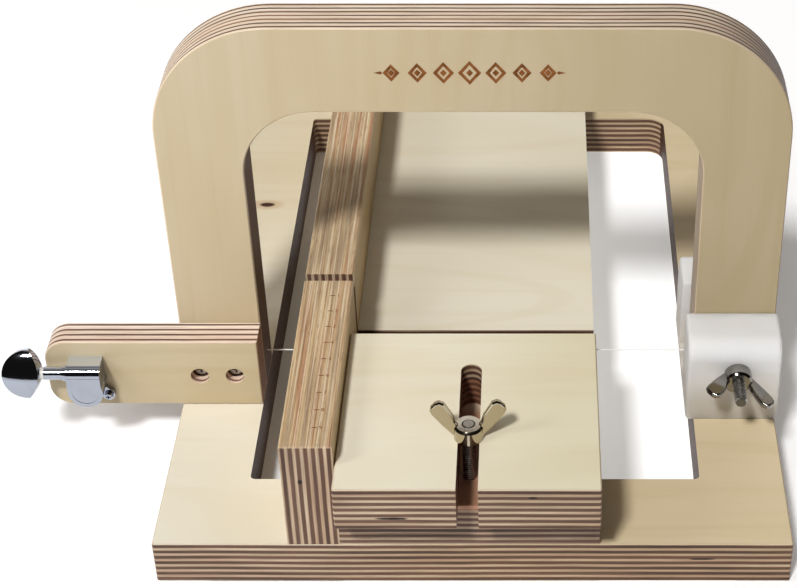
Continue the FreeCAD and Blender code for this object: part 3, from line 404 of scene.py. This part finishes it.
GROOVE_DARK = rgb(60, 58, 56)
THREAD_ZINC = rgb(190, 190, 188)
THREAD_PITCH = MM
THREAD_DEPTH = 0.0001
HANDLING_DEPTH = 0.00006
MACHINING_DEPTH = 0.00005
# Painted warm shade near the foot of the nylon block.
FOOT_SHADE = (0.78, 0.72, 0.62, 1.0)
FOOT_SHADE_HEIGHT = 0.034


def metal(name, colour, rough, waviness=0.25, brushed=0.06, thread=None, shine=1.0, top_highlight=None):
    """A plated metal with faint handling marks.

    thread is the axis of a screw, whose grooves go round it, and the top colour is a painted
    highlight: a lighter colour for faces that point up."""
    shader = Shader(name)
    wear = shader.noise((160, 160, 160), 4.0, 0.6)
    fine = shader.noise((900, 900, 900), 3.0, 0.6)
    dull = tinted(colour, (0.82, 0.82, 0.82))
    tint = shader.layer(colour, dull, wear, 0.45, 0.8, 0.5)
    # Painted highlight: faces that point up are lighter.
    if top_highlight:
        tint = shader.layer(tint, top_highlight, shader.normals()[Z], 0.85, 0.98)
    roughness = shader.maths("ADD", shader.step(wear, 0.3, 0.8, rough * 0.8, rough * 1.35),
                             shader.maths("MULTIPLY", fine, brushed))
    height = shader.maths("MULTIPLY_ADD", wear, waviness, shader.maths("MULTIPLY", fine, 0.12))
    depth = HANDLING_DEPTH
    if thread is not None:
        turns = shader.maths("MULTIPLY", shader.coordinates()[1][thread], 1 / THREAD_PITCH)
        groove = shader.from_middle(turns)
        height = shader.maths("MULTIPLY_ADD", groove, 8.0, height)
        # The thread's grooves are painted darker.
        tint = shader.layer(tint, GROOVE_DARK, groove, 0.22, 0.05, 0.75)
        depth = THREAD_DEPTH
    shader.set(Base_Color=tint, Metallic=shine, Roughness=roughness,
               Normal=shader.bump(height, depth, 0.6))
    return shader.material


def plastic(name, colour, rough, depth=0.0, shade_foot=None):
    """A smooth plastic with a faint mottle and machining marks.

    depth is how far light goes into it, and the foot is the height towards which it gets painted
    warm shade."""
    shader = Shader(name)
    mottle = shader.noise((30, 30, 30), 3.0, 0.5)
    marks = shader.noise((60, 700, 700), 3.0, 0.6)
    tint = shader.layer(colour, tinted(colour, (0.93, 0.93, 0.93)), mottle, 0.3, 0.75)
    if shade_foot is not None:
        height = shader.coordinates()[1][Z]
        # Painted shade, warm and darker towards the foot.
        tint = shader.layer(tint, FOOT_SHADE, height, shade_foot + FOOT_SHADE_HEIGHT, shade_foot, 1.0, "MULTIPLY")
    shader.set(Base_Color=tint,
               Roughness=shader.step(marks, 0.2, 0.8, rough * 0.85, rough * 1.2),
               Normal=shader.bump(marks, MACHINING_DEPTH, 0.3))
    if depth:
        shader.set(Subsurface_Weight=0.5, Subsurface_Radius=(1.0, 0.95, 0.9), Subsurface_Scale=depth)
    return shader.material


BLOCK_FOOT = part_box("pivot_block")[0].z
FINISHES = [
    # Chrome's blue tint is partly painted reflection.
    (metal("chrome", rgb(168, 174, 186), 0.05, waviness=0.08, brushed=0.01,
           top_highlight=rgb(226, 236, 255)),
     ("tuner_housing", "tuner_cap", "tuner_screw", "tuner_bushing", "string_post", "tuner_button",
      "button_screw", "worm_shaft")),
    # Nickel's warm beige tint is partly painted reflection of the wood.
    (metal("nickel", rgb(190, 179, 156), 0.10, waviness=0.6, brushed=0.03,
           top_highlight=rgb(226, 222, 212)),
     ("stop_wing_nut",)),
    # A darker copy of the nickel for the pivot nut: painted shade.
    (metal("nickel_shaded_copy", rgb(142, 139, 133), 0.10, waviness=0.6, brushed=0.03),
     ("pivot_wing_nut",)),
    (metal("zinc", rgb(196, 197, 196), 0.27),
     ("bed_screws", "fence_screws", "block_screws", "arm_screws")),
    (metal("bronze", rgb(205, 160, 92), 0.25),
     ("worm_wheel", "gear_screw", "wire_ball_end")),
    # The wire is white and not metal: a painted highlight along bright steel wire.
    (metal("wire", rgb(250, 250, 250), 0.35, waviness=0.1, shine=0.0),
     ("cutting_wire", "wire_winding")),
    (metal("zinc_thread_up", THREAD_ZINC, 0.25, thread=Z), ("stop_bolt",)),
    (metal("zinc_thread_back", THREAD_ZINC, 0.25, thread=Y), ("pivot_bolt",)),
    (plastic("nylon", (0.75, 0.75, 0.755, 1.0), 0.6, depth=0.014, shade_foot=BLOCK_FOOT),
     ("pivot_block",)),
    (plastic("washer_white", (0.72, 0.70, 0.66, 1.0), 0.4), ("button_washer",)),
]
for material, nodes in FINISHES:
    for node in nodes:
        paint(node, material)


# Burnt marks: a ruler on the fence and a plain ornament on the arch, as flat pieces on the wood.

PROUD = 0.00004
BURNT = rgb(142, 88, 44)
BURNT_DARK = rgb(100, 58, 28)
BURNT_DEPTH = 0.0001


def burn():
    shader = Shader("burnt_wood")
    grain = shader.noise((500, 500, 500), 3.0, 0.6)
    shader.set(Base_Color=shader.layer(BURNT, BURNT_DARK, grain, 0.3, 0.75),
               Roughness=shader.step(grain, 0.2, 0.8, 0.7, 0.85), Specular_IOR_Level=0.2,
               Normal=shader.bump(grain, BURNT_DEPTH, 0.5))
    return shader.material


BURN = burn()


def flat_piece(name, outlines, origin, across, up, body):
    """Flat shapes in one mesh: outlines in millimetres on the plane of two directions."""
    points = []
    faces = []
    for outline in outlines:
        faces.append(tuple(range(len(points), len(points) + len(outline))))
        for u, v in outline:
            points.append(Vector(origin) + Vector(across) * (u * MM) + Vector(up) * (v * MM))
    mesh = bpy.data.meshes.new(name)
    mesh.from_pydata([tuple(p) for p in points], [], faces)
    mesh.materials.append(BURN)
    piece = bpy.data.objects.new(name, mesh)
    bpy.context.scene.collection.objects.link(piece)
    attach(piece, body)


def bar(u, v, width, height):
    """A rectangle about its middle."""
    return [(u - width / 2, v - height / 2), (u + width / 2, v - height / 2),
            (u + width / 2, v + height / 2), (u - width / 2, v + height / 2)]


def lozenge_ring(u, v, half_width, half_height, line):
    """A diamond outline as four joined quads."""
    outer = [(u - half_width, v), (u, v - half_height), (u + half_width, v), (u, v + half_height)]
    keep_u = 1 - line / half_width
    keep_v = 1 - line / half_height
    inner = [(u + (a - u) * keep_u, v + (b - v) * keep_v) for a, b in outer]
    return [[outer[i], outer[(i + 1) % 4], inner[(i + 1) % 4], inner[i]] for i in range(4)]


# The ruler counts centimetres from near the wire towards the front.
wire_low, wire_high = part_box("cutting_wire")
WIRE_Y = (wire_low.y + wire_high.y) / 2
RULE_ZERO = WIRE_Y - 0.0022
RULE_X = bed_low.x - 0.0073
RULE_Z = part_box("guide_fence")[1].z + PROUD
CENTIMETRES = range(1, 10)
TICK_WIDTH = 2.1
TICK_LINE = 0.45
NUMBER_SIZE = 0.0026
NUMBER_X = RULE_X + 0.0016

ticks = [bar(0, -10 * centimetre, TICK_WIDTH, TICK_LINE) for centimetre in CENTIMETRES]
flat_piece("ruler_ticks", ticks, (RULE_X, RULE_ZERO, RULE_Z), (1, 0, 0), (0, 1, 0), "base")


def ruler_number(centimetre):
    """A numeral beside its tick, as a flat mesh."""
    text = bpy.data.curves.new(f"number_{centimetre}", "FONT")
    text.body = str(centimetre)
    text.size = NUMBER_SIZE
    text.align_x = "LEFT"
    text.align_y = "CENTER"
    holder = bpy.data.objects.new(text.name, text)
    bpy.context.scene.collection.objects.link(holder)
    bpy.context.view_layer.update()
    mesh = bpy.data.meshes.new_from_object(holder)
    bpy.data.objects.remove(holder)
    mesh.materials.clear()
    mesh.materials.append(BURN)
    piece = bpy.data.objects.new(f"ruler_number_{centimetre}", mesh)
    piece.location = (NUMBER_X, RULE_ZERO - 10 * MM * centimetre, RULE_Z)
    bpy.context.scene.collection.objects.link(piece)
    bpy.context.view_layer.update()
    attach(piece, "base")


for centimetre in CENTIMETRES:
    ruler_number(centimetre)

# The ornament is a row of diamonds that get smaller outwards, with a dart at each end, in
# millimetres from its middle.
DIAMOND_PITCH = 9.6
DIAMOND_HALF_HEIGHT = 5.0
DIAMOND_SHRINK = 0.45
DIAMOND_SHAPE = 0.86
DIAMOND_LINE = 1.7
DOT_HALF_WIDTH = 1.3
DOT_HALF_HEIGHT = 1.5
DART_TIP = 35.3
DART_SHOULDER = 32.6
DART_TAIL = 32.0
DART_HALF_HEIGHT = 0.7
ORNAMENT_X = -0.0006
ORNAMENT_Z = arch_high.z - 0.0184

ornament = []
for place in range(-3, 4):
    middle = place * DIAMOND_PITCH
    size = DIAMOND_HALF_HEIGHT - DIAMOND_SHRINK * abs(place)
    ornament += lozenge_ring(middle, 0, size * DIAMOND_SHAPE, size, DIAMOND_LINE)
    ornament.append([(middle - DOT_HALF_WIDTH, 0), (middle, -DOT_HALF_HEIGHT),
                     (middle + DOT_HALF_WIDTH, 0), (middle, DOT_HALF_HEIGHT)])
for side in (-1, 1):
    ornament.append([(side * DART_TIP, 0), (side * DART_SHOULDER, -DART_HALF_HEIGHT),
                     (side * DART_TAIL, 0), (side * DART_SHOULDER, DART_HALF_HEIGHT)])
flat_piece("arch_ornament", ornament, (ORNAMENT_X, arch_low.y - PROUD, ORNAMENT_Z),
           (1, 0, 0), (0, 0, 1), "arch")


# Floor, light and camera.

FLOOR_GLOW = 0.17
GAP_GLOW = 0.35
GAP_INSET = 0.02


def make_floor():
    """A pale floor that glows a little, with painted light in the gap right of the bed, where it
    glows more, and painted shade in the gap on its left, where it doesn't glow at all."""
    bpy.ops.mesh.primitive_plane_add(size=60, location=(0, 0, -0.3 * MM))
    floor = bpy.context.object
    floor.name = "floor"
    shader = Shader("floor")
    haze = shader.noise((3, 3, 3), 2.0, 0.5)
    left_gap = shader.inside((base_low.x + GAP_INSET, base_low.y, -1), (bed_low.x, base_high.y, 1))
    right_gap = shader.inside((bed_high.x, base_low.y, -1), (base_high.x - GAP_INSET, base_high.y, 1))
    # Painted shade in the gap left of the bed and painted light in the gap right of it.
    glow = shader.maths("MULTIPLY_ADD", left_gap, -FLOOR_GLOW, FLOOR_GLOW)
    glow = shader.maths("MULTIPLY_ADD", right_gap, GAP_GLOW - FLOOR_GLOW, glow)
    shader.set(Base_Color=shader.mix(haze, (0.90, 0.91, 0.93, 1), (0.94, 0.95, 0.97, 1)),
               Roughness=0.8, Specular_IOR_Level=0.1,
               Emission_Color=(1, 1, 1, 1), Emission_Strength=glow)
    floor.data.materials.append(shader.material)


def make_world():
    """A studio that is dark in front, grey behind and bright overhead."""
    world = bpy.data.worlds.new("studio")
    bpy.context.scene.world = world
    world.use_nodes = True
    shader = Shader(tree=world.node_tree)
    sky = shader.node("TexCoord").outputs["Generated"]
    direction = shader.node("SeparateXYZ", {0: sky}).outputs
    behind = shader.step(direction[Y], 0.05, 0.6, 0.012, 0.29)
    overhead = shader.step(direction[Z], 0.93, 0.995, 0.0, 0.5)
    glow = shader.maths("MULTIPLY", shader.step(direction[Y], 0.62, 0.78),
                        shader.step(direction[Z], 0.25, 0.45))
    level = shader.maths("ADD", behind, overhead)
    level = shader.maths("MULTIPLY_ADD", glow, 0.35, level)
    background = world.node_tree.nodes["Background"]
    background.inputs["Color"].default_value = (1.08, 0.99, 0.88, 1)
    shader.join(level, background.inputs["Strength"])


def make_lamp(kind, name, direction, power, colour=(1, 1, 1)):
    """A lamp that shines along a direction."""
    data = bpy.data.lights.new(name, kind)
    data.energy = power
    data.color = colour
    lamp = bpy.data.objects.new(name, data)
    lamp.rotation_mode = "QUATERNION"
    lamp.rotation_quaternion = Vector(direction).to_track_quat("-Z", "Y")
    bpy.context.scene.collection.objects.link(lamp)
    return lamp


def make_lights():
    """A soft sun from the front left, and a fill lamp on the left that reflections don't show."""
    key = make_lamp("SUN", "key", (0.30, 0.71, -1.0), 2.65, (1.0, 0.99, 0.975))
    key.data.angle = math.radians(8)
    place = Vector((-0.62, -0.42, 0.52))
    fill = make_lamp("AREA", "left", Vector((-0.02, -0.05, 0.05)) - place, 1.7)
    fill.location = place
    fill.data.shape = "DISK"
    fill.data.size = 0.30
    fill.visible_glossy = False


def make_camera():
    data = bpy.data.cameras.new("camera")
    data.lens = 86.31
    data.shift_x = -0.1719
    data.shift_y = 0.0083
    data.clip_start = 0.02
    camera = bpy.data.objects.new("camera", data)
    camera.location = (0.02355, -0.68284, 0.52112)
    camera.rotation_euler = (math.radians(53.064), 0, 0)
    bpy.context.scene.collection.objects.link(camera)
    bpy.context.scene.camera = camera


make_floor()
make_world()
make_lights()
make_camera()
bpy.context.scene.view_settings.view_transform = "Standard"
